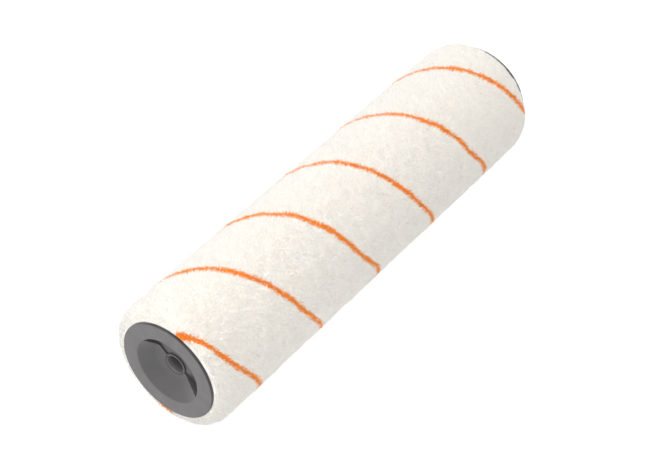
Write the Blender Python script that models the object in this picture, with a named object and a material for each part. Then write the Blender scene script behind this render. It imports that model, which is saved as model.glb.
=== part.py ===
"""Paint roller sleeve, 250 mm, for frames with an 8 mm rod.

A plastic core tube carries a pile fabric strip wound round it as a helix. A cap is pressed into each
end. Each cap's hub holds a bush that stays with the frame's rod while the sleeve turns round it.

Frame: +X runs along the sleeve from the open end, where the rod enters, to the closed end. +Z is up.
The origin is under the middle of the sleeve, on the surface that the sleeve lies on. Metres.
"""
import math

import bmesh
import bpy
from mathutils import Vector

# Driving dimensions
LENGTH = 0.250            # over the flange faces
PILE_RADIUS = 0.0330      # over the brushed-up pile
PILE_SAG = 0.0005         # the pile gives by this much under the sleeve's own weight
CORE_OUTER = 0.0240       # the common 48 mm core
CORE_WALL = 0.0020
BACKING_THICKNESS = 0.0007
FLANGE_RADIUS = 0.0258
FLANGE_THICKNESS = 0.0016
ROD_RADIUS = 0.0040       # the frame's rod, which is not part of the sleeve

# Gaps
GAP = 0.0003              # between pieces that touch
ROD_CLEARANCE = 0.00005   # rod in its bushes
RUNNING_GAP = 0.0002      # bush in its hub

# Cover
STRIP_LEAD = 0.0906       # the fabric strip's advance in one turn
SEAM_GAP = 0.0005         # between the strip's butted edges
PILE_END_START = 0.0261   # radius at which the pile comes out from behind the flange
PILE_NEAR_ROUNDING = 0.0074  # how far behind the near flange the pile reaches its full radius
PILE_FAR_ROUNDING = 0.0102   # the far end is sheared to a longer round
PILE_END_POWER = 2.1      # 2 is an ellipse, more is squarer

# Caps
RECESS_RADIUS = 0.0178    # mouth of the dished recess
RECESS_DEPTH = 0.0053
FLOOR_RADIUS = 0.0093     # the dish's flat floor
FLOOR_SHIFT = 0.0020      # the floor's centre lies this far off the hub's axis
FLOOR_SHIFT_ANGLE = math.radians(150)
DISH_WALL = 0.0014
SKIRT_WALL = 0.0015
SKIRT_DEPTH = 0.0160
SKIRT_TAPER = 0.0005
HUB_RADIUS = 0.00595
HUB_DEPTH = 0.0200
POCKET_START = math.radians(-22)   # the near dish has a deeper pocket on one side of its hub
POCKET_END = math.radians(138.5)
POCKET_OUTER = 0.0173
POCKET_DEPTH = 0.0060
POCKET_WALL = 0.0012
POCKET_WALL_TURN = math.radians(6)
POCKET_BITE = 0.0001      # how far the pocket cuts into the hub's wall
HUB_COLLAR = 0.0002       # the near hub is thicker by this much down to the pocket's underside

# Bushes
BUSH_WALL = 0.00065
BUSH_LIP_RADIUS = 0.0052
BUSH_LIP_THICKNESS = 0.0006
BUSH_MOUTH_RADIUS = 0.0049
BUSH_THROAT_RADIUS = 0.00445
BUSH_THROAT_LENGTH = 0.0014
BEAD_HEIGHT = 0.00045     # the snap bead stands this far out of the bush's barrel
BEAD_WIDTH = 0.0010
FUNNEL_RADIUS = 0.0105
FUNNEL_LENGTH = 0.0120
FAR_HUB_FLOOR = 0.0030    # the closed end of the far hub, measured from the dish's floor

# Derived dimensions
AXIS_Z = PILE_RADIUS - PILE_SAG
CORE_INNER = CORE_OUTER - CORE_WALL
BACKING_INNER = CORE_OUTER + GAP
BACKING_OUTER = BACKING_INNER + BACKING_THICKNESS
PILE_INNER = BACKING_OUTER + GAP
SKIRT_RADIUS = CORE_INNER - GAP
BUSH_BORE = ROD_RADIUS + ROD_CLEARANCE
BUSH_RADIUS = BUSH_BORE + BUSH_WALL
HUB_BORE = BUSH_RADIUS + RUNNING_GAP
COUNTERBORE_RADIUS = BUSH_LIP_RADIUS + RUNNING_GAP
COUNTERBORE_DEPTH = BUSH_LIP_THICKNESS + RUNNING_GAP

# Facets
ROUND_STEPS = 60
SMALL_STEPS = 32
PILE_STEPS = 60
CORNER_STEPS = 2
SMOOTH_ANGLE = math.radians(32)


def clear_scene():
    for obj in list(bpy.data.objects):
        bpy.data.objects.remove(obj, do_unlink=True)


def make_material(name, colour, roughness):
    material = bpy.data.materials.new(name)
    material.use_nodes = True
    shader = material.node_tree.nodes["Principled BSDF"]
    shader.inputs["Base Color"].default_value = (*colour, 1.0)
    shader.inputs["Roughness"].default_value = roughness
    shader.inputs["Metallic"].default_value = 0.0
    return material


def make_object(name, bm, material):
    """Turn a bmesh into a named, smooth-shaded object."""
    bmesh.ops.recalc_face_normals(bm, faces=bm.faces)
    mesh = bpy.data.meshes.new(name)
    bm.to_mesh(mesh)
    bm.free()
    mesh.shade_smooth()
    mesh.set_sharp_from_angle(angle=SMOOTH_ANGLE)
    mesh.materials.append(material)
    obj = bpy.data.objects.new(name, mesh)
    bpy.context.scene.collection.objects.link(obj)
    return obj


def rounded(corners):
    """Outline through (along, radius, fillet) corners, each fillet drawn as a short arc."""
    outline = []
    for i, (along, radius, fillet) in enumerate(corners):
        here = Vector((along, radius))
        if fillet == 0:
            outline.append(here)
            continue
        before = Vector(corners[i - 1][:2])
        after = Vector(corners[(i + 1) % len(corners)][:2])
        to_before = (before - here).normalized()
        to_after = (after - here).normalized()
        half = to_before.angle(to_after) / 2
        centre = here + (to_before + to_after).normalized() * fillet / math.sin(half)
        start = here + to_before * fillet / math.tan(half) - centre
        end = here + to_after * fillet / math.tan(half) - centre
        for step in range(CORNER_STEPS + 1):
            spoke = start.lerp(end, step / CORNER_STEPS).normalized() * fillet
            outline.append(centre + spoke)
    return outline


def turned(outline, steps):
    """Spin a closed (along, radius) outline round the X axis."""
    bm = bmesh.new()
    verts = [bm.verts.new((along, 0.0, radius)) for along, radius in outline]
    edges = [bm.edges.new((verts[i - 1], verts[i])) for i in range(len(verts))]
    bmesh.ops.spin(bm, geom=verts + edges, angle=2 * math.pi, steps=steps, axis=(1, 0, 0), cent=(0, 0, 0))
    bmesh.ops.remove_doubles(bm, verts=bm.verts, dist=0.000001)
    return bm


def ring_outline(start, end, inner, outer):
    return [Vector((start, inner)), Vector((start, outer)), Vector((end, outer)), Vector((end, inner))]


def place(obj, along, turn=0.0):
    """Put an object made about the X axis on the sleeve's axis."""
    obj.location = (along, 0.0, AXIS_Z)
    obj.rotation_euler = (0.0, 0.0, turn)


def make_core_tube():
    start = FLANGE_THICKNESS + GAP
    bm = turned(ring_outline(start, LENGTH - start, CORE_INNER, CORE_OUTER), ROUND_STEPS)
    tube = make_object("core_tube", bm, make_material("polypropylene", (0.72, 0.72, 0.70), 0.45))
    place(tube, -LENGTH / 2)


def make_cover_backing():
    """One strip wound round the core with its edges butted, and trimmed square at the core's ends."""
    first = FLANGE_THICKNESS + GAP
    last = LENGTH - first
    slope = STRIP_LEAD / (2 * math.pi)
    half_width = (STRIP_LEAD - SEAM_GAP) / 2
    turn_step = 2 * math.pi / ROUND_STEPS
    columns = int((last - first + STRIP_LEAD) / slope / turn_step)
    bm = bmesh.new()
    rows = []
    for i in range(1, columns):
        turn = i * turn_step
        middle = first - STRIP_LEAD / 2 + slope * turn
        low = max(middle - half_width, first)
        high = min(middle + half_width, last)
        if high - low < 4 * SEAM_GAP:
            continue
        corners = ((low, BACKING_INNER), (high, BACKING_INNER), (high, BACKING_OUTER), (low, BACKING_OUTER))
        row = [bm.verts.new((s, r * math.cos(turn), r * math.sin(turn))) for s, r in corners]
        rows.append(row)
    for row, following in zip(rows, rows[1:]):
        for i in range(4):
            bm.faces.new((row[i - 1], row[i], following[i], following[i - 1]))
    bm.faces.new(rows[0])
    bm.faces.new(rows[-1])
    strip = make_object("cover_backing", bm, make_material("knitted_backing", (0.80, 0.78, 0.72), 0.9))
    place(strip, -LENGTH / 2)


def pile_end(rounding, steps=7):
    """The pile's rounded end, from behind the flange's rim out to the full radius."""
    foot = FLANGE_THICKNESS + GAP
    points = []
    for i in range(steps + 1):
        angle = math.pi / 2 * i / steps
        inward = rounding * (1 - math.cos(angle) ** (2 / PILE_END_POWER))
        rise = (PILE_RADIUS - PILE_END_START) * math.sin(angle) ** (2 / PILE_END_POWER)
        points.append(Vector((foot + inward, PILE_END_START + rise)))
    return points


def make_pile_cover():
    """The standing pile, closed round the sleeve and pressed flat where it rests."""
    root = Vector((FLANGE_THICKNESS + GAP, PILE_INNER))
    near = [root] + pile_end(PILE_NEAR_ROUNDING)
    far = [root] + pile_end(PILE_FAR_ROUNDING)
    mirrored = [Vector((LENGTH - point.x, point.y)) for point in reversed(far)]
    bm = turned(near + mirrored, PILE_STEPS)
    for vert in bm.verts:
        vert.co.z = max(vert.co.z, -AXIS_Z)
    pile = make_object("pile_cover", bm, make_material("microfibre_pile", (0.93, 0.90, 0.85), 0.95))
    place(pile, -LENGTH / 2)


def shift_dish_floor(bm, underside):
    """Move the dish's floor sideways, top and underside alike, and leave the hub and flange."""
    sideways = Vector((0.0, -math.cos(FLOOR_SHIFT_ANGLE), math.sin(FLOOR_SHIFT_ANGLE))) * FLOOR_SHIFT
    shallow = RECESS_DEPTH / 2
    for vert in bm.verts:
        radius = math.hypot(vert.co.y, vert.co.z)
        on_floor = HUB_RADIUS + GAP < radius < (RECESS_RADIUS + FLOOR_RADIUS) / 2
        if on_floor and shallow < vert.co.x < underside + GAP:
            vert.co += sideways


def cap_front(floor_edge):
    """The part of a cap's outline that both caps share, from the dish's floor out and round the skirt."""
    return [
        (RECESS_DEPTH, floor_edge, 0.0),
        (RECESS_DEPTH, FLOOR_RADIUS, 0.0012),
        (0.0, RECESS_RADIUS, 0.0004),
        (0.0, FLANGE_RADIUS, 0.0007),
        (FLANGE_THICKNESS, FLANGE_RADIUS, 0.0002),
        (FLANGE_THICKNESS, SKIRT_RADIUS, 0.0),
        (SKIRT_DEPTH - SKIRT_WALL, SKIRT_RADIUS, 0.0),
        (SKIRT_DEPTH, SKIRT_RADIUS - SKIRT_TAPER, 0.0),
        (SKIRT_DEPTH, SKIRT_RADIUS - SKIRT_WALL, 0.0),
        (FLANGE_THICKNESS + GAP, SKIRT_RADIUS - SKIRT_WALL, 0.0005),
    ]


def sector(outline, start, end, steps):
    """Closed solid: an (along, radius) outline swept from one angle to another round the axis."""
    bm = bmesh.new()
    rings = []
    for i in range(steps + 1):
        angle = start + (end - start) * i / steps
        ring = [bm.verts.new((along, -radius * math.cos(angle), radius * math.sin(angle)))
                for along, radius in outline]
        rings.append(ring)
    for ring, following in zip(rings, rings[1:]):
        for k in range(len(ring)):
            bm.faces.new((ring[k - 1], ring[k], following[k], following[k - 1]))
    bm.faces.new(rings[0])
    bm.faces.new(rings[-1])
    return bm


def cut(target, name, bm):
    """Cut a hidden solid out of a cap."""
    cutter = make_object(name, bm, make_material("cutter", (1.0, 0.0, 0.0), 1.0))
    cutter.hide_render = True
    cutter.display_type = "WIRE"
    modifier = target.modifiers.new(name, "BOOLEAN")
    modifier.operation = "DIFFERENCE"
    modifier.object = cutter
    modifier.solver = "EXACT"
    place(cutter, -LENGTH / 2)


def pocket_cutter():
    """The pocket in the near dish, between the hub and the flange, cut from the front."""
    inner = HUB_RADIUS - POCKET_BITE
    outline = (
        (-SKIRT_WALL, inner),
        (-SKIRT_WALL, POCKET_OUTER),
        (POCKET_DEPTH, POCKET_OUTER),
        (POCKET_DEPTH, inner),
    )
    return sector(outline, POCKET_START, POCKET_END, ROUND_STEPS // 2)


def back_cutter():
    """The hollow behind the rest of the near dish, which leaves an even wall there, cut from the back."""
    underside = RECESS_DEPTH + DISH_WALL
    inner = HUB_RADIUS + HUB_COLLAR
    outer = POCKET_OUTER + 2 * POCKET_WALL
    back = POCKET_DEPTH + 2 * POCKET_WALL
    shallow = FLANGE_THICKNESS + 2 * GAP
    outline = (
        (underside, inner),
        (underside, FLOOR_RADIUS + DISH_WALL / 2),
        (shallow, RECESS_RADIUS + DISH_WALL / 4),
        (shallow, outer),
        (back, outer),
        (back, inner),
    )
    start = POCKET_END + POCKET_WALL_TURN
    end = POCKET_START + 2 * math.pi - POCKET_WALL_TURN
    bm = sector(outline, start, end, ROUND_STEPS // 2)
    shift_dish_floor(bm, underside)
    return bm


def make_near_cap(plastic):
    """Open cap: the rod goes in through its hub."""
    plug_radius = POCKET_OUTER + POCKET_WALL
    plug_depth = POCKET_DEPTH + POCKET_WALL
    outline = rounded(cap_front(HUB_RADIUS) + [
        (FLANGE_THICKNESS + GAP, plug_radius, 0.0),
        (plug_depth, plug_radius, 0.0),
        (plug_depth, HUB_RADIUS, 0.0),
        (HUB_DEPTH, HUB_RADIUS, 0.0),
        (HUB_DEPTH, HUB_BORE, 0.0),
        (RECESS_DEPTH + COUNTERBORE_DEPTH, HUB_BORE, 0.0),
        (RECESS_DEPTH + COUNTERBORE_DEPTH, COUNTERBORE_RADIUS, 0.0),
        (RECESS_DEPTH, COUNTERBORE_RADIUS, 0.0),
    ])
    bm = turned(outline, ROUND_STEPS)
    shift_dish_floor(bm, RECESS_DEPTH + DISH_WALL)
    cap = make_object("near_end_cap", bm, plastic)
    place(cap, -LENGTH / 2)
    cut(cap, "pocket_cutter", pocket_cutter())
    cut(cap, "back_cutter", back_cutter())


def make_near_bush(plastic):
    """Flanged bush, pushed in from outside and held by a snap bead behind the hub."""
    lip = RECESS_DEPTH + RUNNING_GAP / 2
    barrel = lip + BUSH_LIP_THICKNESS
    bead = HUB_DEPTH + GAP
    outline = rounded([
        (barrel + BUSH_THROAT_LENGTH, BUSH_BORE, 0.0),
        (barrel, BUSH_THROAT_RADIUS, 0.0),
        (lip, BUSH_MOUTH_RADIUS, 0.0),
        (lip, BUSH_LIP_RADIUS, 0.0001),
        (barrel, BUSH_LIP_RADIUS, 0.0),
        (barrel, BUSH_RADIUS, 0.0),
        (bead, BUSH_RADIUS, 0.0),
        (bead, BUSH_RADIUS + BEAD_HEIGHT, 0.0),
        (bead + BEAD_WIDTH, BUSH_RADIUS, 0.0),
        (bead + BEAD_WIDTH, BUSH_BORE, 0.0),
    ])
    bush = make_object("near_rod_bush", turned(outline, SMALL_STEPS), plastic)
    place(bush, -LENGTH / 2)


def far_bead():
    """Where the far bush's snap bead starts, behind the hub's closed end."""
    return RECESS_DEPTH + FAR_HUB_FLOOR + 2 * BEAD_WIDTH


def make_far_cap(plastic):
    """Closed cap: its hub holds the rod's end, and a groove in it keeps the bush in."""
    groove = far_bead()
    hub_floor = RECESS_DEPTH + FAR_HUB_FLOOR
    groove_radius = BUSH_RADIUS + BEAD_HEIGHT + RUNNING_GAP
    underside = RECESS_DEPTH + DISH_WALL
    outline = rounded(cap_front(0.0) + [
        (FLANGE_THICKNESS + GAP, RECESS_RADIUS + DISH_WALL / 2, 0.0),
        (underside, FLOOR_RADIUS + DISH_WALL / 2, 0.0012),
        (underside, HUB_RADIUS, 0.0),
        (HUB_DEPTH, HUB_RADIUS, 0.0),
        (HUB_DEPTH, HUB_BORE, 0.0),
        (groove + BEAD_WIDTH + GAP, HUB_BORE, 0.0),
        (groove + BEAD_WIDTH + GAP, groove_radius, 0.0),
        (groove - GAP, groove_radius, 0.0),
        (groove - GAP, HUB_BORE, 0.0),
        (hub_floor, HUB_BORE, 0.0),
        (hub_floor, 0.0, 0.0),
    ])
    bm = turned(outline, ROUND_STEPS)
    shift_dish_floor(bm, RECESS_DEPTH + DISH_WALL)
    cap = make_object("far_end_cap", bm, plastic)
    place(cap, LENGTH / 2, math.pi)


def make_far_bush(plastic):
    """Bush for the rod's end, with a funnel that guides the rod into it."""
    bead = far_bead()
    start = RECESS_DEPTH + FAR_HUB_FLOOR + GAP
    shoulder = HUB_DEPTH + GAP
    mouth = shoulder + FUNNEL_LENGTH
    outline = rounded([
        (start, BUSH_BORE, 0.0),
        (start, BUSH_RADIUS, 0.0002),
        (bead, BUSH_RADIUS, 0.0),
        (bead, BUSH_RADIUS + BEAD_HEIGHT, 0.0),
        (bead + BEAD_WIDTH, BUSH_RADIUS, 0.0),
        (shoulder, BUSH_RADIUS, 0.0),
        (shoulder, HUB_RADIUS, 0.0),
        (mouth, FUNNEL_RADIUS, 0.0003),
        (mouth, FUNNEL_RADIUS - 2 * BUSH_WALL, 0.0002),
        (shoulder + BEAD_WIDTH, BUSH_BORE, 0.0010),
    ])
    bush = make_object("far_rod_bush", turned(outline, SMALL_STEPS), plastic)
    place(bush, LENGTH / 2, math.pi)


def main():
    clear_scene()
    cap_plastic = make_material("grey_polypropylene", (0.22, 0.22, 0.22), 0.5)
    bush_plastic = make_material("grey_acetal", (0.30, 0.30, 0.30), 0.4)
    make_core_tube()
    make_cover_backing()
    make_pile_cover()
    make_near_cap(cap_plastic)
    make_near_bush(bush_plastic)
    make_far_cap(cap_plastic)
    make_far_bush(bush_plastic)


main()
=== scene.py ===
"""Looks of a paint roller sleeve: microfibre pile with two marking rows, moulded caps and a studio."""
import math

import bmesh
import bpy
from mathutils import Matrix, Vector, noise


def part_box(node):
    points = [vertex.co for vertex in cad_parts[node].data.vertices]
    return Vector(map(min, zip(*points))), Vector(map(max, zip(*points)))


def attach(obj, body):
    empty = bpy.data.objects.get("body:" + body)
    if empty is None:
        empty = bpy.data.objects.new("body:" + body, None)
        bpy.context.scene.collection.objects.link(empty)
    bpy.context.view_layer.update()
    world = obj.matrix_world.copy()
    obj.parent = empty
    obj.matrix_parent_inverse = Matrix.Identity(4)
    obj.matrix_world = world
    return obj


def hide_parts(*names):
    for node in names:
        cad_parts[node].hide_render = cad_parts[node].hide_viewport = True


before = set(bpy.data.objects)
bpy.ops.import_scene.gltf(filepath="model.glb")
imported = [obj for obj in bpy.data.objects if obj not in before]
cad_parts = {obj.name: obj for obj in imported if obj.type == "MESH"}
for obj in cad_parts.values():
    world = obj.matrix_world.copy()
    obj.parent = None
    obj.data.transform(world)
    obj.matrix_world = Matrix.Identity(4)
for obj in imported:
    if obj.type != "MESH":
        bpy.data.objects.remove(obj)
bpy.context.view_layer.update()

# ---- Sizes read from the frame -------------------------------------------------------------------
PILE_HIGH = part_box("pile_cover")[1]
NEAR_LOW, NEAR_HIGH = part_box("near_end_cap")
FAR_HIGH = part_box("far_end_cap")[1]
PILE_RADIUS = PILE_HIGH.y
AXIS_Z = PILE_HIGH.z - PILE_RADIUS
NEAR_FACE = NEAR_LOW.x
FAR_FACE = FAR_HIGH.x
LENGTH = FAR_FACE - NEAR_FACE
FLANGE_RADIUS = NEAR_HIGH.y
HUB_DEPTH = NEAR_HIGH.x - NEAR_FACE

# ---- Sizes of the looks ----------------------------------------------------------------------------
STRIP_LEAD = 0.0906         # one turn of the wound fabric strip
ROW_PITCH = STRIP_LEAD / 2  # the strip holds two marking rows
ROW_START = 0.0184          # where a row passes the -Y side, from the near flange face
ROW_HALF_WIDTH = 0.0013
ROW_FUZZ = 0.0012           # how far single orange fibres stray from their row
ROW_WOBBLE = 0.0014         # how far a row strays from its helix
WOBBLES_PER_METRE = 38.0
ROW_RIPPLE = 0.0005         # the same, for single clumps of fibre
RIPPLES_PER_METRE = 260.0
BRUSHED_LOW = 0.0042        # the pile low on the -Y side lies over by this much, towards the far end
BRUSHED_HIGH = 0.0020       # the pile high on the +Y side lies over towards the near end
# Degrees round from the -Y side at which the lie sets in and is full, then has gone and begins to go.
BRUSHED_LOW_TURN = (24, -16, -150, -70)
BRUSHED_HIGH_TURN = (82, 130, 178, 140)

CORE_END = 0.0019           # the core and its cover start this far behind the flange's face
PILE_INNER = 0.0253
PRESSED_TO = 0.0002         # height that the pile's body is pressed to where the sleeve lies
TIPS_PRESSED_TO = 0.0001
PILE_ROOT = 0.0256          # radius at which the pile's end leaves its foot
NEAR_FOOT = 0.0017
NEAR_ROUNDING = 0.0065
NEAR_POWER = 2.6            # 2 is an ellipse, more is squarer
FAR_FOOT = 0.0041           # set back, so that the far flange's rim shows past the pile
FAR_ROUNDING = 0.0110
FAR_POWER = 2.3
FAR_TAPER = 0.0005          # the pile is sheared this much lower at the far end
END_STEPS = 12
PLANTED_FROM = 0.0262       # radius from which the ends carry fibres
FOOT_EASE = 0.0030          # fibres reach their full size and fan over this height
END_LEAN = 0.0018           # next to a flange the fibres lie over inwards by this much
END_LEAN_REACH = 0.0090
FIBRE_STAND = 0.0015        # the fibre tips stand this far above the pile's body
FIBRE_LENGTH = 0.0017
FIBRE_WIDTH = 0.00024       # radius of a fibre bundle's foot, coarser than a real fibre so that it shows
FIBRES_PER_M2 = 8.0e6
ROW_DENSITY = 1.2           # the marking rows are this much denser than the white pile
FIBRE_SIDES = 3
FIBRE_SIZES = (0.6, 1.1)    # smallest and largest fibre, as shares of the full size
FOOT_SIZE = 0.5             # fibres at the pile's foot are this share of their size
SWIRL = 5.0                 # how strongly the fibres of a clump lean the same way
TIP_BANDS = 7               # the white fibres are split into pieces along the sleeve
FIBRE_LEAN = math.radians(26)
BODY_GRID = 0.0012          # facet size of the pile's body
CLUMP_SIZE = 0.0050
CLUMP_HEIGHT = 0.0005

BACKING_INNER = 0.0243
BACKING_OUTER = 0.0250
SEAM_GAP = 0.0005
STRIP_STEPS_ROUND = 120
STRIP_STEPS_ACROSS = 24
KNIT_COURSE_MM = 1.4

RECESS_RADIUS = 0.0178
RECESS_DEPTH = 0.0053
FLOOR_RADIUS = 0.0093
FLOOR_FILLET = 0.0035
FLOOR_SHIFT = 0.0020
FLOOR_SHIFT_ANGLE = math.radians(150)
DISH_WALL = 0.0014
SKIRT_RADIUS = 0.0217
SKIRT_WALL = 0.0015
SKIRT_DEPTH = 0.0160
SKIRT_TAPER = 0.0005
FLANGE_THICKNESS = 0.0016
HUB_RADIUS = 0.00595
HUB_BORE = 0.0049
COUNTERBORE_RADIUS = 0.0054
COUNTERBORE_DEPTH = 0.0008
FAR_HUB_FLOOR = 0.0030
POCKET_START = math.radians(-22)
POCKET_END = math.radians(138.5)
POCKET_OUTER = 0.0173
POCKET_DEPTH = 0.0060
POCKET_WALL = 0.0012
POCKET_WALL_TURN = math.radians(6)
HUB_COLLAR = 0.0002
EDGE_ROUNDING = 0.0004
WELD_ANGLE = math.radians(121)   # a faint weld line crosses the flange here
WELD_WIDTH = 0.0004
WELD_DEPTH = 3.0                 # in heights of the surface's grain
CAP_GRAIN_MM = 0.45              # coarser than a real spark-eroded grain so that it shows
BUSH_STEPS = 96
BUSH_BORE = 0.00405
BUSH_RADIUS = 0.0047
BUSH_LIP_RADIUS = 0.0052
BUSH_LIP_THICKNESS = 0.0006
BUSH_MOUTH_RADIUS = 0.0049
BUSH_THROAT_RADIUS = 0.00445
BUSH_THROAT_LENGTH = 0.0014
BEAD_HEIGHT = 0.00045
BEAD_WIDTH = 0.0010

GAP = 0.0003
ROUND_STEPS = 180
CORNER_STEPS = 5
TAU = 2 * math.pi
MM = 0.001

# ---- Studio sizes ------------------------------------------------------------------------------------
LENS_MM = 111.6
SENSOR_MM = 36.0
CAMERA_PLACE = (-0.5651, -0.4240, AXIS_Z + 0.6551)
CAMERA_FORWARD = (0.5790, 0.4430, -0.6845)
ROOM_LIGHT = 1.26
KEY_PLACE = (-0.5, 0.05, 1.15)
KEY_TARGET = (0.0, 0.0, 0.03)
KEY_SIZE = 1.0
KEY_POWER = 6.5
FLOOR_GLOW = 0.8
FLOOR_DROP = 0.0002         # keeps the floor clear of the pressed pile
FLOOR_HALF_SIDE = 6.0


# ---- Camera ------------------------------------------------------------------------------------------
def make_camera():
    data = bpy.data.cameras.new("studio_camera")
    data.lens = LENS_MM
    data.sensor_width = SENSOR_MM
    camera = bpy.data.objects.new("studio_camera", data)
    bpy.context.scene.collection.objects.link(camera)
    forward = Vector(CAMERA_FORWARD).normalized()
    camera.location = CAMERA_PLACE
    camera.rotation_mode = "QUATERNION"
    camera.rotation_quaternion = forward.to_track_quat("-Z", "Y")
    bpy.context.scene.camera = camera


make_camera()


# ---- Node helper ---------------------------------------------------------------------------------------
def linear(hex_colour):
    """sRGB hex to linear RGBA."""
    channels = [int(hex_colour[i:i + 2], 16) / 255 for i in (1, 3, 5)]
    return (*[c / 12.92 if c <= 0.04045 else ((c + 0.055) / 1.055) ** 2.4 for c in channels], 1.0)


def add(tree, kind, inputs=None, **settings):
    """Add a node, set its settings, and set or link its inputs by name or number."""
    node = tree.nodes.new(kind)
    for name, value in settings.items():
        setattr(node, name, value)
    for key, value in (inputs or {}).items():
        if isinstance(value, bpy.types.NodeSocket):
            tree.links.new(value, node.inputs[key])
        else:
            node.inputs[key].default_value = value
    return node


def maths(tree, operation, *values):
    return add(tree, "ShaderNodeMath", dict(enumerate(values)), operation=operation).outputs[0]


def smooth_step(tree, value, low, high):
    """0 where value is at low, 1 where it is at high, eased between them."""
    inputs = {0: value, 1: low, 2: high}
    return add(tree, "ShaderNodeMapRange", inputs, interpolation_type="SMOOTHSTEP").outputs[0]


def root_place(tree, along):
    """Where along the sleeve a fibre is rooted: next to the flanges the fibres lie over inwards."""
    outward = maths(tree, "ABSOLUTE", along)
    lying = smooth_step(tree, outward, LENGTH / 2 - END_LEAN_REACH, LENGTH / 2)
    root = maths(tree, "MULTIPLY_ADD", lying, END_LEAN, outward)
    return maths(tree, "MULTIPLY", root, maths(tree, "SIGN", along))


def row_distance(tree, position):
    """Distance along the sleeve from the nearest marking row's middle. Works in both kinds of tree."""
    xyz = add(tree, "ShaderNodeSeparateXYZ", {0: position}).outputs
    up = maths(tree, "SUBTRACT", xyz[2], AXIS_Z)
    front = maths(tree, "MULTIPLY", xyz[1], -1.0)
    turn = maths(tree, "ARCTAN2", up, front)
    wound = maths(tree, "MULTIPLY", turn, STRIP_LEAD / TAU)
    along = maths(tree, "ADD", root_place(tree, xyz[0]), wound)
    for reach, angles in ((-BRUSHED_LOW, BRUSHED_LOW_TURN), (BRUSHED_HIGH, BRUSHED_HIGH_TURN)):
        begin, full, end, fading = [math.radians(angle) for angle in angles]
        setting_in = smooth_step(tree, turn, begin, full)
        fading_out = smooth_step(tree, turn, end, fading)
        brushed = maths(tree, "MULTIPLY", setting_in, fading_out)
        along = maths(tree, "ADD", along, maths(tree, "MULTIPLY", brushed, reach))
    for scale, reach in ((WOBBLES_PER_METRE, ROW_WOBBLE), (RIPPLES_PER_METRE, ROW_RIPPLE)):
        stray = add(tree, "ShaderNodeTexNoise",
                    {"Vector": position, "Scale": scale, "Detail": 1.0}).outputs[0]
        stray = maths(tree, "MULTIPLY", maths(tree, "SUBTRACT", stray, 0.5), 2 * reach)
        along = maths(tree, "ADD", along, stray)
    first = NEAR_FACE + ROW_START
    offset = maths(tree, "SUBTRACT", along, first)
    return maths(tree, "ABSOLUTE", maths(tree, "WRAP", offset, ROW_PITCH / 2, -ROW_PITCH / 2))


# ---- Materials -----------------------------------------------------------------------------------------
def new_material(name, roughness, ior):
    material = bpy.data.materials.new(name)
    material.use_nodes = True
    tree = material.node_tree
    shader = tree.nodes["Principled BSDF"]
    shader.inputs["Roughness"].default_value = roughness
    shader.inputs["IOR"].default_value = ior
    place = tree.nodes.new("ShaderNodeTexCoord").outputs["Object"]
    return material, tree, shader, place


def mottled(tree, place, grain_mm, colours, detail=3.0):
    """Colour that drifts between two hex colours over patches of a real size."""
    drift = add(tree, "ShaderNodeTexNoise",
                {"Vector": place, "Scale": 1000.0 / grain_mm, "Detail": detail})
    ramp = add(tree, "ShaderNodeValToRGB", {0: drift.outputs[0]})
    ramp.color_ramp.elements[0].position = 0.3
    ramp.color_ramp.elements[1].position = 0.7
    ramp.color_ramp.elements[0].color = linear(colours[0])
    ramp.color_ramp.elements[1].color = linear(colours[1])
    return ramp.outputs[0]


def microfibre_body():
    """Brushed polyester microfibre: chalk white, soft sheen, faint clumps, orange at the rows' roots."""
    material, tree, shader, place = new_material("microfibre_body", 0.95, 1.5)
    shader.inputs["Sheen Weight"].default_value = 0.3
    shader.inputs["Sheen Roughness"].default_value = 0.6
    white = mottled(tree, place, 4.0, ("#FBF6EE", "#FFFDF9"))
    orange = mottled(tree, place, 2.0, ("#FA8F1A", "#FFA234"))
    inside = maths(tree, "LESS_THAN", row_distance(tree, place), ROW_HALF_WIDTH)
    mix = add(tree, "ShaderNodeMix", {0: inside, 6: white, 7: orange}, data_type="RGBA")
    tree.links.new(mix.outputs[2], shader.inputs["Base Color"])
    return material


def microfibre_tips(name, colour, sheen):
    """Standing polyester fibre bundles: one tone of a dye lot, so that mixed tones read as depth."""
    material, _, shader, _ = new_material(name, 0.9, 1.5)
    shader.inputs["Base Color"].default_value = linear(colour)
    shader.inputs["Sheen Weight"].default_value = sheen
    shader.inputs["Sheen Roughness"].default_value = 0.6
    return material


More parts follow.
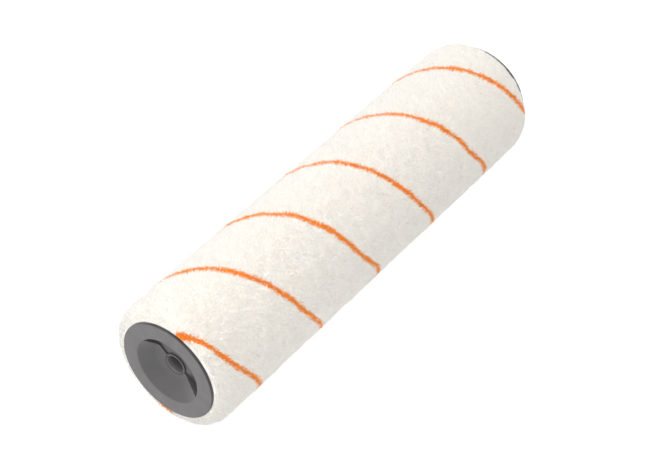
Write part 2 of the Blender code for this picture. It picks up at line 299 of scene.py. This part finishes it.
def moulded_polypropylene():
    """Injection-moulded polypropylene: pale matt flange with a weld line; the rim and the dish are
    glossier and get a darker colour as painted shade.
    """
    material, tree, shader, place = new_material("moulded_grey_polypropylene", 0.5, 1.49)
    xyz = add(tree, "ShaderNodeSeparateXYZ", {0: place}).outputs
    up = maths(tree, "SUBTRACT", xyz[2], AXIS_Z)
    front = maths(tree, "MULTIPLY", xyz[1], -1.0)
    squares = maths(tree, "ADD", maths(tree, "MULTIPLY", up, up), maths(tree, "MULTIPLY", front, front))
    radius = maths(tree, "SQRT", squares)
    inside = smooth_step(tree, radius, RECESS_RADIUS - 0.7 * MM, RECESS_RADIUS + 0.1 * MM)
    outside = smooth_step(tree, radius, FLANGE_RADIUS - 0.05 * MM, FLANGE_RADIUS - 0.3 * MM)
    flange = maths(tree, "MULTIPLY", inside, outside)
    matt = mottled(tree, place, 5.0, ("#5D5B5C", "#656364"))
    # the dish, hub and pocket inside the recess get a darker grey: painted shade for the recess's depth;
    # their lower roughness set below is real
    recess_painted_shade = mottled(tree, place, 8.0, ("#484647", "#4D4B4C"))
    body = add(tree, "ShaderNodeMix", {0: inside, 6: recess_painted_shade, 7: matt}, data_type="RGBA").outputs[2]
    # the flange's rim side gets a near-black grey: painted shade for the gap between the rim and the pile,
    # which also darkens the far cap's crescent
    mix = add(tree, "ShaderNodeMix", {0: outside, 6: linear("#343233"), 7: body}, data_type="RGBA")
    tree.links.new(mix.outputs[2], shader.inputs["Base Color"])
    fine = 1000.0 / CAP_GRAIN_MM
    grain = add(tree, "ShaderNodeTexNoise", {"Vector": place, "Scale": fine, "Detail": 2.0}).outputs[0]
    spread = add(tree, "ShaderNodeMapRange", {0: grain, 3: -0.05, 4: 0.05}).outputs[0]
    gloss = add(tree, "ShaderNodeMapRange", {0: flange, 3: 0.36, 4: 0.55}).outputs[0]
    tree.links.new(maths(tree, "ADD", gloss, spread), shader.inputs["Roughness"])
    across = maths(tree, "SUBTRACT", maths(tree, "MULTIPLY", up, math.cos(WELD_ANGLE)),
                   maths(tree, "MULTIPLY", front, math.sin(WELD_ANGLE)))
    near_weld = smooth_step(tree, maths(tree, "ABSOLUTE", across), WELD_WIDTH, 0.0)
    upper = maths(tree, "GREATER_THAN", up, 0.0)
    weld = maths(tree, "MULTIPLY", maths(tree, "MULTIPLY", near_weld, upper), flange)
    groove = maths(tree, "MULTIPLY", weld, WELD_DEPTH)
    depth = maths(tree, "SUBTRACT", maths(tree, "MULTIPLY", grain, flange), groove)
    lift = add(tree, "ShaderNodeBump", {"Height": depth, "Strength": 0.25, "Distance": 0.0001})
    tree.links.new(lift.outputs[0], shader.inputs["Normal"])
    return material


def plain_plastic(name, dark, light, roughness, grain_mm, bump):
    """Moulded or extruded plastic: even colour, a faint grain in its gloss and surface."""
    material, tree, shader, place = new_material(name, roughness, 1.49)
    tree.links.new(mottled(tree, place, 6.0, (dark, light)), shader.inputs["Base Color"])
    grain = add(tree, "ShaderNodeTexNoise", {"Vector": place, "Scale": 1000.0 / grain_mm, "Detail": 2.0})
    limits = {0: grain.outputs[0], 3: roughness - 0.06, 4: roughness + 0.06}
    spread = add(tree, "ShaderNodeMapRange", limits)
    tree.links.new(spread.outputs[0], shader.inputs["Roughness"])
    lift = add(tree, "ShaderNodeBump", {"Height": grain.outputs[0], "Strength": bump, "Distance": 0.0001})
    tree.links.new(lift.outputs[0], shader.inputs["Normal"])
    return material


def knitted_ground():
    """Knitted polyester ground: off-white, dull, ribbed by its courses."""
    material, tree, shader, place = new_material("knitted_ground", 0.9, 1.5)
    tree.links.new(mottled(tree, place, 3.0, ("#D9D3C6", "#ECE7DC")), shader.inputs["Base Color"])
    waves = 1000.0 / KNIT_COURSE_MM * TAU / 20  # a wave of scale 1 repeats every TAU / 20 metres
    course = add(tree, "ShaderNodeTexWave", {"Vector": place, "Scale": waves}, bands_direction="X")
    lift = add(tree, "ShaderNodeBump", {"Height": course.outputs[1], "Strength": 0.6, "Distance": 0.0003})
    tree.links.new(lift.outputs[0], shader.inputs["Normal"])
    return material


# ---- Mesh helpers --------------------------------------------------------------------------------------
def finish_mesh(name, bm, material, angle=35):
    bmesh.ops.recalc_face_normals(bm, faces=bm.faces)
    mesh = bpy.data.meshes.new(name)
    bm.to_mesh(mesh)
    bm.free()
    mesh.shade_smooth()
    mesh.set_sharp_from_angle(angle=math.radians(angle))
    mesh.materials.append(material)
    obj = bpy.data.objects.new(name, mesh)
    bpy.context.scene.collection.objects.link(obj)
    return obj


def rounded(corners):
    """Outline through (along, radius, fillet) corners, each fillet drawn as an arc."""
    outline = []
    for i, (along, radius, fillet) in enumerate(corners):
        here = Vector((along, radius))
        if fillet == 0:
            outline.append(here)
            continue
        to_before = (Vector(corners[i - 1][:2]) - here).normalized()
        to_after = (Vector(corners[(i + 1) % len(corners)][:2]) - here).normalized()
        half = to_before.angle(to_after) / 2
        centre = here + (to_before + to_after).normalized() * fillet / math.sin(half)
        start = here + to_before * fillet / math.tan(half) - centre
        end = here + to_after * fillet / math.tan(half) - centre
        for step in range(CORNER_STEPS + 1):
            spoke = start.lerp(end, step / CORNER_STEPS).normalized() * fillet
            outline.append(centre + spoke)
    return outline


def spun(outline, steps=ROUND_STEPS):
    """Closed (along, radius) outline turned once round the sleeve's axis, from the -Y side towards +Z."""
    bm = bmesh.new()
    poles = {k: bm.verts.new((point.x, 0.0, 0.0)) for k, point in enumerate(outline) if point.y == 0}
    rings = []
    for i in range(steps):
        angle = TAU * i / steps
        rings.append([poles.get(k) or bm.verts.new((point.x, -point.y * math.cos(angle),
                                                    point.y * math.sin(angle)))
                      for k, point in enumerate(outline)])
    for i, ring in enumerate(rings):
        before = rings[i - 1]
        for k in range(len(ring)):
            corners = list(dict.fromkeys((before[k - 1], before[k], ring[k], ring[k - 1])))
            if len(corners) > 2:
                bm.faces.new(corners)
    return bm


def put_near(obj):
    obj.data.transform(Matrix.Translation((NEAR_FACE, 0.0, AXIS_Z)))


def put_far(obj):
    obj.data.transform(Matrix.Translation((FAR_FACE, 0.0, AXIS_Z)) @ Matrix.Rotation(math.pi, 4, "Z"))


def seat(obj, body, slot, *nodes):
    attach(obj, body)
    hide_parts(*nodes)


# ---- Pile ----------------------------------------------------------------------------------------------
def pile_end(foot, reach, length, power):
    """Rounded end of the pile's body, from its foot behind the flange out to its full radius."""
    points = []
    for i in range(END_STEPS + 1):
        angle = math.pi / 2 * i / END_STEPS
        inward = length * (1 - math.cos(angle) ** (2 / power))
        rise = (reach - PILE_ROOT) * math.sin(angle) ** (2 / power)
        points.append(Vector((foot + inward, PILE_ROOT + rise)))
    return points


def pile_profile():
    """The pile's body, a fibre's stand inside the finished pile, from the near foot to the far foot."""
    reach = PILE_RADIUS - FIBRE_STAND
    near = [Vector((NEAR_FOOT, PILE_INNER))] + pile_end(NEAR_FOOT, reach, NEAR_ROUNDING, NEAR_POWER)
    collar = [Vector((CORE_END, PILE_INNER)), Vector((CORE_END, PILE_ROOT))]
    far = collar + pile_end(FAR_FOOT, reach - FAR_TAPER, FAR_ROUNDING, FAR_POWER)
    far = [Vector((LENGTH - point.x, point.y)) for point in reversed(far)]
    steps = int((far[0].x - near[-1].x) / BODY_GRID)
    run = [near[-1].lerp(far[0], i / steps) for i in range(1, steps)]
    return near + run + far


def make_pile_body(material):
    bm = spun(pile_profile(), int(TAU * PILE_RADIUS / BODY_GRID))
    for vert in bm.verts:
        radius = math.hypot(vert.co.y, vert.co.z)
        clump = noise.noise(vert.co / CLUMP_SIZE) + 0.5 * noise.noise(vert.co / CLUMP_SIZE * 2.3)
        ease = min(1.0, max(0.0, (radius - PLANTED_FROM) / FOOT_EASE))
        vert.co.yz *= 1 + CLUMP_HEIGHT * clump * ease / radius
        vert.co.z = max(vert.co.z, PRESSED_TO - AXIS_Z)
    body = finish_mesh("pile_body", bm, material, 80)
    put_near(body)
    return body


def fibre_stance(tree, position, normal, lean):
    """Which way a fibre stands, and how far from the pile's foot it is, from 0 to 1.

    Fibres stand square to the core, fan out over the rounded ends, and lean together in clumps.
    """
    centred = add(tree, "ShaderNodeVectorMath", {0: position, 1: (0.0, 0.0, AXIS_Z)}, operation="SUBTRACT")
    flat = add(tree, "ShaderNodeVectorMath", {0: centred.outputs[0], 1: (0.0, 1.0, 1.0)},
               operation="MULTIPLY").outputs[0]
    radius = add(tree, "ShaderNodeVectorMath", {0: flat}, operation="LENGTH").outputs["Value"]
    clear = smooth_step(tree, radius, PLANTED_FROM - FOOT_EASE / 4, PLANTED_FROM + FOOT_EASE)
    radial = add(tree, "ShaderNodeVectorMath", {0: flat}, operation="NORMALIZE").outputs[0]
    swirl = add(tree, "ShaderNodeTexNoise", {"Vector": position, "Scale": 1 / CLUMP_SIZE, "Detail": 1.0})
    swirl = add(tree, "ShaderNodeVectorMath", {0: swirl.outputs["Color"], 1: (0.5, 0.5, 0.5)},
                operation="SUBTRACT").outputs[0]
    swirl = add(tree, "ShaderNodeVectorMath", {0: swirl, "Scale": maths(tree, "MULTIPLY", lean, SWIRL)},
                operation="SCALE").outputs[0]
    fanned = add(tree, "ShaderNodeVectorMath", {0: normal, 1: swirl}, operation="ADD").outputs[0]
    fanned = add(tree, "ShaderNodeVectorMath", {0: fanned, "Scale": clear}, operation="SCALE").outputs[0]
    return add(tree, "ShaderNodeVectorMath", {0: radial, 1: fanned}, operation="ADD").outputs[0], clear


def fibre_tree(name, materials):
    """Geometry Nodes: fibre bundles standing on a surface, either in the marking rows or between them."""
    tree = bpy.data.node_groups.new(name, "GeometryNodeTree")
    face = tree.interface
    face.new_socket(name="Surface", in_out="INPUT", socket_type="NodeSocketGeometry")
    for title, kind in (("Per square metre", "Float"), ("Fibre length", "Float"), ("Fibre width", "Float"),
                        ("Row half width", "Float"), ("Row fuzz", "Float"), ("Lean", "Float"),
                        ("Floor", "Float"), ("In rows", "Bool"), ("Seed", "Int")):
        face.new_socket(name=title, in_out="INPUT", socket_type="NodeSocket" + kind)
    face.new_socket(name="Fibres", in_out="OUTPUT", socket_type="NodeSocketGeometry")
    given = add(tree, "NodeGroupInput").outputs
    seed = given["Seed"]
    scatter = add(tree, "GeometryNodeDistributePointsOnFaces",
                  {"Mesh": given["Surface"], "Density": given["Per square metre"], "Seed": seed}).outputs
    place = add(tree, "GeometryNodeInputPosition").outputs[0]
    fuzz = given["Row fuzz"]
    minus_fuzz = maths(tree, "MULTIPLY", fuzz, -1.0)
    stray = maths(tree, "ADD", *[add(tree, "FunctionNodeRandomValue",
                                     {2: maths(tree, "MULTIPLY", minus_fuzz, 0.5),
                                      3: maths(tree, "MULTIPLY", fuzz, 0.5), "Seed": draw}).outputs[1]
                                 for draw in (101, 102)])
    distance = maths(tree, "ADD", row_distance(tree, place), stray)
    in_row = add(tree, "FunctionNodeCompare", {0: distance, 1: given["Row half width"]},
                 operation="LESS_THAN").outputs[0]
    wrong = add(tree, "FunctionNodeBooleanMath", {0: in_row, 1: given["In rows"]},
                operation="XOR").outputs[0]
    kept = add(tree, "GeometryNodeDeleteGeometry", {"Geometry": scatter["Points"], "Selection": wrong},
               domain="POINT").outputs[0]
    lean = given["Lean"]
    upright, clear = fibre_stance(tree, place, scatter["Normal"], lean)
    standing = add(tree, "FunctionNodeAlignRotationToVector", {"Vector": upright}, axis="Z").outputs[0]
    minus = maths(tree, "MULTIPLY", lean, -1.0)
    low = add(tree, "ShaderNodeCombineXYZ", {0: minus, 1: minus, 2: 0.0}).outputs[0]
    high = add(tree, "ShaderNodeCombineXYZ", {0: lean, 1: lean, 2: TAU}).outputs[0]
    angles = add(tree, "FunctionNodeRandomValue", {0: low, 1: high, "Seed": seed},
                 data_type="FLOAT_VECTOR").outputs[0]
    turn = add(tree, "FunctionNodeEulerToRotation", {0: angles}).outputs[0]
    leaning = add(tree, "FunctionNodeRotateRotation", {0: standing, 1: turn},
                  rotation_space="LOCAL").outputs[0]
    size = add(tree, "FunctionNodeRandomValue",
               {2: FIBRE_SIZES[0], 3: FIBRE_SIZES[1], "Seed": seed}).outputs[1]
    size = maths(tree, "MULTIPLY", size, maths(tree, "MULTIPLY_ADD", clear, 1 - FOOT_SIZE, FOOT_SIZE))
    fibre = add(tree, "GeometryNodeMeshCone",
                {"Vertices": FIBRE_SIDES, "Side Segments": 1,
                 "Radius Top": 0.0, "Radius Bottom": given["Fibre width"],
                 "Depth": given["Fibre length"]}, fill_type="NONE").outputs["Mesh"]
    planted = add(tree, "GeometryNodeInstanceOnPoints",
                  {"Points": kept, "Instance": fibre, "Rotation": leaning, "Scale": size}).outputs[0]
    real = add(tree, "GeometryNodeRealizeInstances", {0: planted}).outputs[0]
    xyz = add(tree, "ShaderNodeSeparateXYZ", {0: place}).outputs
    above = maths(tree, "MAXIMUM", xyz[2], given["Floor"])
    pressed = add(tree, "ShaderNodeCombineXYZ", {0: xyz[0], 1: xyz[1], 2: above}).outputs[0]
    dressed = add(tree, "GeometryNodeSetPosition", {"Geometry": real, "Position": pressed}).outputs[0]
    dressed = add(tree, "GeometryNodeSetShadeSmooth", {"Geometry": dressed}).outputs[0]
    face_index = add(tree, "GeometryNodeInputIndex").outputs[0]
    number = maths(tree, "FLOOR", maths(tree, "DIVIDE", face_index, float(FIBRE_SIDES)))
    tone = add(tree, "FunctionNodeRandomValue", {4: 0, 5: len(materials) - 1, "ID": number, "Seed": seed},
               data_type="INT").outputs[2]
    for i, material in enumerate(materials):
        chosen = add(tree, "FunctionNodeCompare", {2: tone, 3: i},
                     data_type="INT", operation="EQUAL").outputs[0]
        dressed = add(tree, "GeometryNodeSetMaterial",
                      {"Geometry": dressed, "Selection": chosen, "Material": material}).outputs[0]
    add(tree, "NodeGroupOutput", {0: dressed})
    return tree


def grow_fibres(name, ground, tree, **values):
    """Grow fibres on a surface and keep them as a plain mesh."""
    obj = bpy.data.objects.new(name, ground)
    bpy.context.scene.collection.objects.link(obj)
    modifier = obj.modifiers.new("fibres", "NODES")
    modifier.node_group = tree
    for item in tree.interface.items_tree:
        key = item.name.replace(" ", "_")
        if item.in_out == "INPUT" and key in values:
            modifier[item.identifier] = values[key]
    depsgraph = bpy.context.evaluated_depsgraph_get()
    mesh = bpy.data.meshes.new_from_object(obj.evaluated_get(depsgraph))
    obj.modifiers.remove(modifier)
    obj.data = mesh
    mesh.name = name
    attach(obj, "sleeve")


def planting_ground(body, low, high):
    """The part of the pile's outer surface between two places along the sleeve."""
    bm = bmesh.new()
    bm.from_mesh(body.data)
    doomed = []
    for face in bm.faces:
        centre = face.calc_center_median()
        radius = math.hypot(centre.y, centre.z - AXIS_Z)
        if radius < PLANTED_FROM or not low <= centre.x < high:
            doomed.append(face)
    bmesh.ops.delete(bm, geom=doomed, context="FACES")
    ground = bpy.data.meshes.new("ground")
    bm.to_mesh(ground)
    bm.free()
    return ground


def make_pile():
    body = make_pile_body(microfibre_body())
    seat(body, "sleeve", "pile", "pile_cover")
    whites = [microfibre_tips("microfibre_white", "#FEFAF3", 0.3),
              microfibre_tips("microfibre_white_bright", "#FFFDF9", 0.3),
              microfibre_tips("microfibre_white_dull", "#F9F3EA", 0.2)]
    oranges = [microfibre_tips("microfibre_orange", "#FFA12C", 0.2),
               microfibre_tips("microfibre_orange_deep", "#FA8C16", 0.2)]
    common = {"Fibre_length": FIBRE_LENGTH, "Fibre_width": FIBRE_WIDTH, "Lean": FIBRE_LEAN,
              "Row_half_width": ROW_HALF_WIDTH, "Row_fuzz": ROW_FUZZ, "Floor": TIPS_PRESSED_TO}
    tree = fibre_tree("standing_fibres", whites)
    for i in range(TIP_BANDS):
        low = NEAR_FACE - MM + (LENGTH + 2 * MM) * i / TIP_BANDS
        high = NEAR_FACE - MM + (LENGTH + 2 * MM) * (i + 1) / TIP_BANDS
        grow_fibres(f"pile_tips_{i + 1}", planting_ground(body, low, high), tree,
                    Per_square_metre=FIBRES_PER_M2, In_rows=False, Seed=i, **common)
    grow_fibres("marking_rows", planting_ground(body, NEAR_FACE - MM, FAR_FACE + MM),
                fibre_tree("marking_fibres", oranges),
                Per_square_metre=FIBRES_PER_M2 * ROW_DENSITY, In_rows=True, Seed=11, **common)


def make_backing(material):
    """The knitted ground under the pile: one strip wound round the core, its edges butted."""
    first = CORE_END
    last = LENGTH - first
    slope = STRIP_LEAD / TAU
    half_width = (STRIP_LEAD - SEAM_GAP) / 2
    turn_step = TAU / STRIP_STEPS_ROUND
    across = STRIP_STEPS_ACROSS
    bm = bmesh.new()
    rings = []
    for i in range(1, int((last - first + STRIP_LEAD) / slope / turn_step)):
        turn = i * turn_step
        middle = first - STRIP_LEAD / 2 + slope * turn
        low = max(middle - half_width, first)
        high = min(middle + half_width, last)
        if high - low < 4 * SEAM_GAP:
            continue
        steps = [low + (high - low) * k / across for k in range(across + 1)]
        corners = [(x, BACKING_INNER) for x in steps] + [(x, BACKING_OUTER) for x in reversed(steps)]
        rings.append([bm.verts.new((x, r * math.cos(turn), r * math.sin(turn))) for x, r in corners])
    for ring, following in zip(rings, rings[1:]):
        for k in range(len(ring)):
            bm.faces.new((ring[k - 1], ring[k], following[k], following[k - 1]))
    bm.faces.new(rings[0])
    bm.faces.new(rings[-1])
    strip = finish_mesh("backing_strip", bm, material, 50)
    put_near(strip)
    seat(strip, "sleeve", "backing_fabric", "cover_backing")


# ---- Caps ----------------------------------------------------------------------------------------------
def shift_dish(bm, underside):
    """Move the dish's floor sideways, as the frame's caps have it."""
    sideways = Vector((0.0, -math.cos(FLOOR_SHIFT_ANGLE), math.sin(FLOOR_SHIFT_ANGLE))) * FLOOR_SHIFT
    for vert in bm.verts:
        radius = math.hypot(vert.co.y, vert.co.z)
        on_floor = HUB_RADIUS + GAP < radius < (RECESS_RADIUS + FLOOR_RADIUS) / 2
        if on_floor and RECESS_DEPTH / 2 < vert.co.x < underside + GAP:
            vert.co += sideways


def cap_front(floor_edge):
    """The part of a cap's outline that both caps share, from the dish's floor out and round the skirt."""
    return [
        (RECESS_DEPTH, floor_edge, 0.0),
        (RECESS_DEPTH, FLOOR_RADIUS, FLOOR_FILLET),
        (0.0, RECESS_RADIUS, 0.0005),
        (0.0, FLANGE_RADIUS, 0.0005),
        (FLANGE_THICKNESS, FLANGE_RADIUS, 0.0002),
        (FLANGE_THICKNESS, SKIRT_RADIUS, 0.0),
        (SKIRT_DEPTH - SKIRT_WALL, SKIRT_RADIUS, 0.0),
        (SKIRT_DEPTH, SKIRT_RADIUS - SKIRT_TAPER, 0.0002),
        (SKIRT_DEPTH, SKIRT_RADIUS - SKIRT_WALL, 0.0002),
        (FLANGE_THICKNESS + GAP, SKIRT_RADIUS - SKIRT_WALL, 0.0005),
    ]


def sector(outline, start, end, steps):
    """Closed solid: an (along, radius) outline swept from one angle to another round the axis."""
    bm = bmesh.new()
    rings = []
    for i in range(steps + 1):
        angle = start + (end - start) * i / steps
        rings.append([bm.verts.new((along, -radius * math.cos(angle), radius * math.sin(angle)))
                      for along, radius in outline])
    for ring, following in zip(rings, rings[1:]):
        for k in range(len(ring)):
            bm.faces.new((ring[k - 1], ring[k], following[k], following[k - 1]))
    bm.faces.new(rings[0])
    bm.faces.new(rings[-1])
    return bm


def carve(cap, cutters):
    """Cut solids out of a cap, round the new edges, and keep the result as a plain mesh."""
    for cutter in cutters:
        modifier = cap.modifiers.new("cut", "BOOLEAN")
        modifier.operation = "DIFFERENCE"
        modifier.object = cutter
        modifier.solver = "EXACT"
    bevel = cap.modifiers.new("soft_edges", "BEVEL")
    bevel.width = EDGE_ROUNDING
    bevel.segments = 2
    bevel.limit_method = "ANGLE"
    bevel.angle_limit = math.radians(50)
    depsgraph = bpy.context.evaluated_depsgraph_get()
    mesh = bpy.data.meshes.new_from_object(cap.evaluated_get(depsgraph))
    cap.modifiers.clear()
    cap.data = mesh
    for cutter in cutters:
        bpy.data.objects.remove(cutter)


def make_near_cap(plastic):
    plug_radius = POCKET_OUTER + POCKET_WALL
    plug_depth = POCKET_DEPTH + POCKET_WALL
    underside = RECESS_DEPTH + DISH_WALL
    bm = spun(rounded(cap_front(HUB_RADIUS) + [
        (FLANGE_THICKNESS + GAP, plug_radius, 0.0),
        (plug_depth, plug_radius, 0.0),
        (plug_depth, HUB_RADIUS, 0.0),
        (HUB_DEPTH, HUB_RADIUS, 0.0),
        (HUB_DEPTH, HUB_BORE, 0.0),
        (RECESS_DEPTH + COUNTERBORE_DEPTH, HUB_BORE, 0.0),
        (RECESS_DEPTH + COUNTERBORE_DEPTH, COUNTERBORE_RADIUS, 0.0),
        (RECESS_DEPTH, COUNTERBORE_RADIUS, 0.0),
    ]))
    shift_dish(bm, underside)
    cap = finish_mesh("near_cap", bm, plastic)
    inner = HUB_RADIUS - 0.1 * MM
    pocket = sector([(-SKIRT_WALL, inner), (-SKIRT_WALL, POCKET_OUTER), (POCKET_DEPTH, POCKET_OUTER),
                     (POCKET_DEPTH, inner)], POCKET_START, POCKET_END, ROUND_STEPS // 2)
    collar = HUB_RADIUS + HUB_COLLAR
    outer = plug_radius + POCKET_WALL
    back = sector([(underside, collar), (underside, FLOOR_RADIUS + DISH_WALL / 2),
                   (FLANGE_THICKNESS + 2 * GAP, RECESS_RADIUS + DISH_WALL / 4),
                   (FLANGE_THICKNESS + 2 * GAP, outer), (plug_depth + POCKET_WALL, outer),
                   (plug_depth + POCKET_WALL, collar)],
                  POCKET_END + POCKET_WALL_TURN, POCKET_START + TAU - POCKET_WALL_TURN, ROUND_STEPS // 2)
    shift_dish(back, underside)
    carve(cap, [finish_mesh("pocket_cutter", pocket, plastic), finish_mesh("back_cutter", back, plastic)])
    put_near(cap)
    seat(cap, "sleeve", "cap_plastic", "near_end_cap")


def make_far_cap(plastic):
    underside = RECESS_DEPTH + DISH_WALL
    groove = RECESS_DEPTH + FAR_HUB_FLOOR + 2 * BEAD_WIDTH
    groove_radius = BUSH_RADIUS + BEAD_HEIGHT + 0.2 * MM
    bm = spun(rounded(cap_front(0.0) + [
        (FLANGE_THICKNESS + GAP, RECESS_RADIUS + DISH_WALL / 2, 0.0),
        (underside, FLOOR_RADIUS + DISH_WALL / 2, 0.0012),
        (underside, HUB_RADIUS, 0.0),
        (HUB_DEPTH, HUB_RADIUS, 0.0002),
        (HUB_DEPTH, HUB_BORE, 0.0002),
        (groove + BEAD_WIDTH + GAP, HUB_BORE, 0.0),
        (groove + BEAD_WIDTH + GAP, groove_radius, 0.0),
        (groove - GAP, groove_radius, 0.0),
        (groove - GAP, HUB_BORE, 0.0),
        (RECESS_DEPTH + FAR_HUB_FLOOR, HUB_BORE, 0.0),
        (RECESS_DEPTH + FAR_HUB_FLOOR, 0.0, 0.0),
    ]))
    shift_dish(bm, underside)
    cap = finish_mesh("far_cap", bm, plastic)
    put_far(cap)
    seat(cap, "sleeve", "cap_plastic", "far_end_cap")


def make_near_bush(plastic):
    lip = RECESS_DEPTH + 0.1 * MM
    barrel = lip + BUSH_LIP_THICKNESS
    bead = HUB_DEPTH + GAP
    outline = rounded([
        (barrel + BUSH_THROAT_LENGTH, BUSH_BORE, 0.0005),
        (barrel, BUSH_THROAT_RADIUS, 0.0005),
        (lip, BUSH_MOUTH_RADIUS, 0.0001),
        (lip, BUSH_LIP_RADIUS, 0.0001),
        (barrel, BUSH_LIP_RADIUS, 0.0),
        (barrel, BUSH_RADIUS, 0.0),
        (bead, BUSH_RADIUS, 0.0),
        (bead, BUSH_RADIUS + BEAD_HEIGHT, 0.0001),
        (bead + BEAD_WIDTH, BUSH_RADIUS, 0.0),
        (bead + BEAD_WIDTH, BUSH_BORE, 0.0),
    ])
    bush = finish_mesh("near_bush", spun(outline, BUSH_STEPS), plastic)
    put_near(bush)
    seat(bush, "near_bush", "bush_plastic", "near_rod_bush")


# ---- Studio --------------------------------------------------------------------------------------------
def area_light(name, place, target, size, power):
    data = bpy.data.lights.new(name, "AREA")
    data.size = size
    data.energy = power
    light = bpy.data.objects.new(name, data)
    bpy.context.scene.collection.objects.link(light)
    light.location = place
    light.rotation_mode = "QUATERNION"
    light.rotation_quaternion = (Vector(target) - Vector(place)).to_track_quat("-Z", "Y")


def make_studio():
    bm = bmesh.new()
    bmesh.ops.create_grid(bm, x_segments=1, y_segments=1, size=FLOOR_HALF_SIDE)
    material, _, shader, _ = new_material("lit_white_acrylic", 0.8, 1.5)
    shader.inputs["Base Color"].default_value = linear("#8C8C8C")
    shader.inputs["Emission Color"].default_value = (1.0, 1.0, 1.0, 1.0)
    shader.inputs["Emission Strength"].default_value = FLOOR_GLOW
    floor = finish_mesh("floor", bm, material)
    floor.location.z = -FLOOR_DROP
    world = bpy.data.worlds.new("soft_room")
    bpy.context.scene.world = world
    world.use_nodes = True
    world.node_tree.nodes["Background"].inputs[0].default_value = (1.0, 1.0, 1.0, 1.0)
    world.node_tree.nodes["Background"].inputs[1].default_value = ROOM_LIGHT
    area_light("key", KEY_PLACE, KEY_TARGET, KEY_SIZE, KEY_POWER)
    bpy.context.scene.view_settings.view_transform = "Standard"


def main():
    cap_plastic = moulded_polypropylene()
    bush_plastic = plain_plastic("moulded_grey_acetal", "#5A5859", "#605E5F", 0.35, 0.5, 0.08)
    core_plastic = plain_plastic("extruded_polypropylene", "#D8D8D2", "#E2E2DD", 0.45, 1.0, 0.05)
    make_pile()
    make_backing(knitted_ground())
    make_near_cap(cap_plastic)
    make_far_cap(cap_plastic)
    make_near_bush(bush_plastic)
    for node, material in (("far_rod_bush", bush_plastic), ("core_tube", core_plastic)):
        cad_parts[node].data.materials.clear()
        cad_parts[node].data.materials.append(material)
    make_studio()


main()
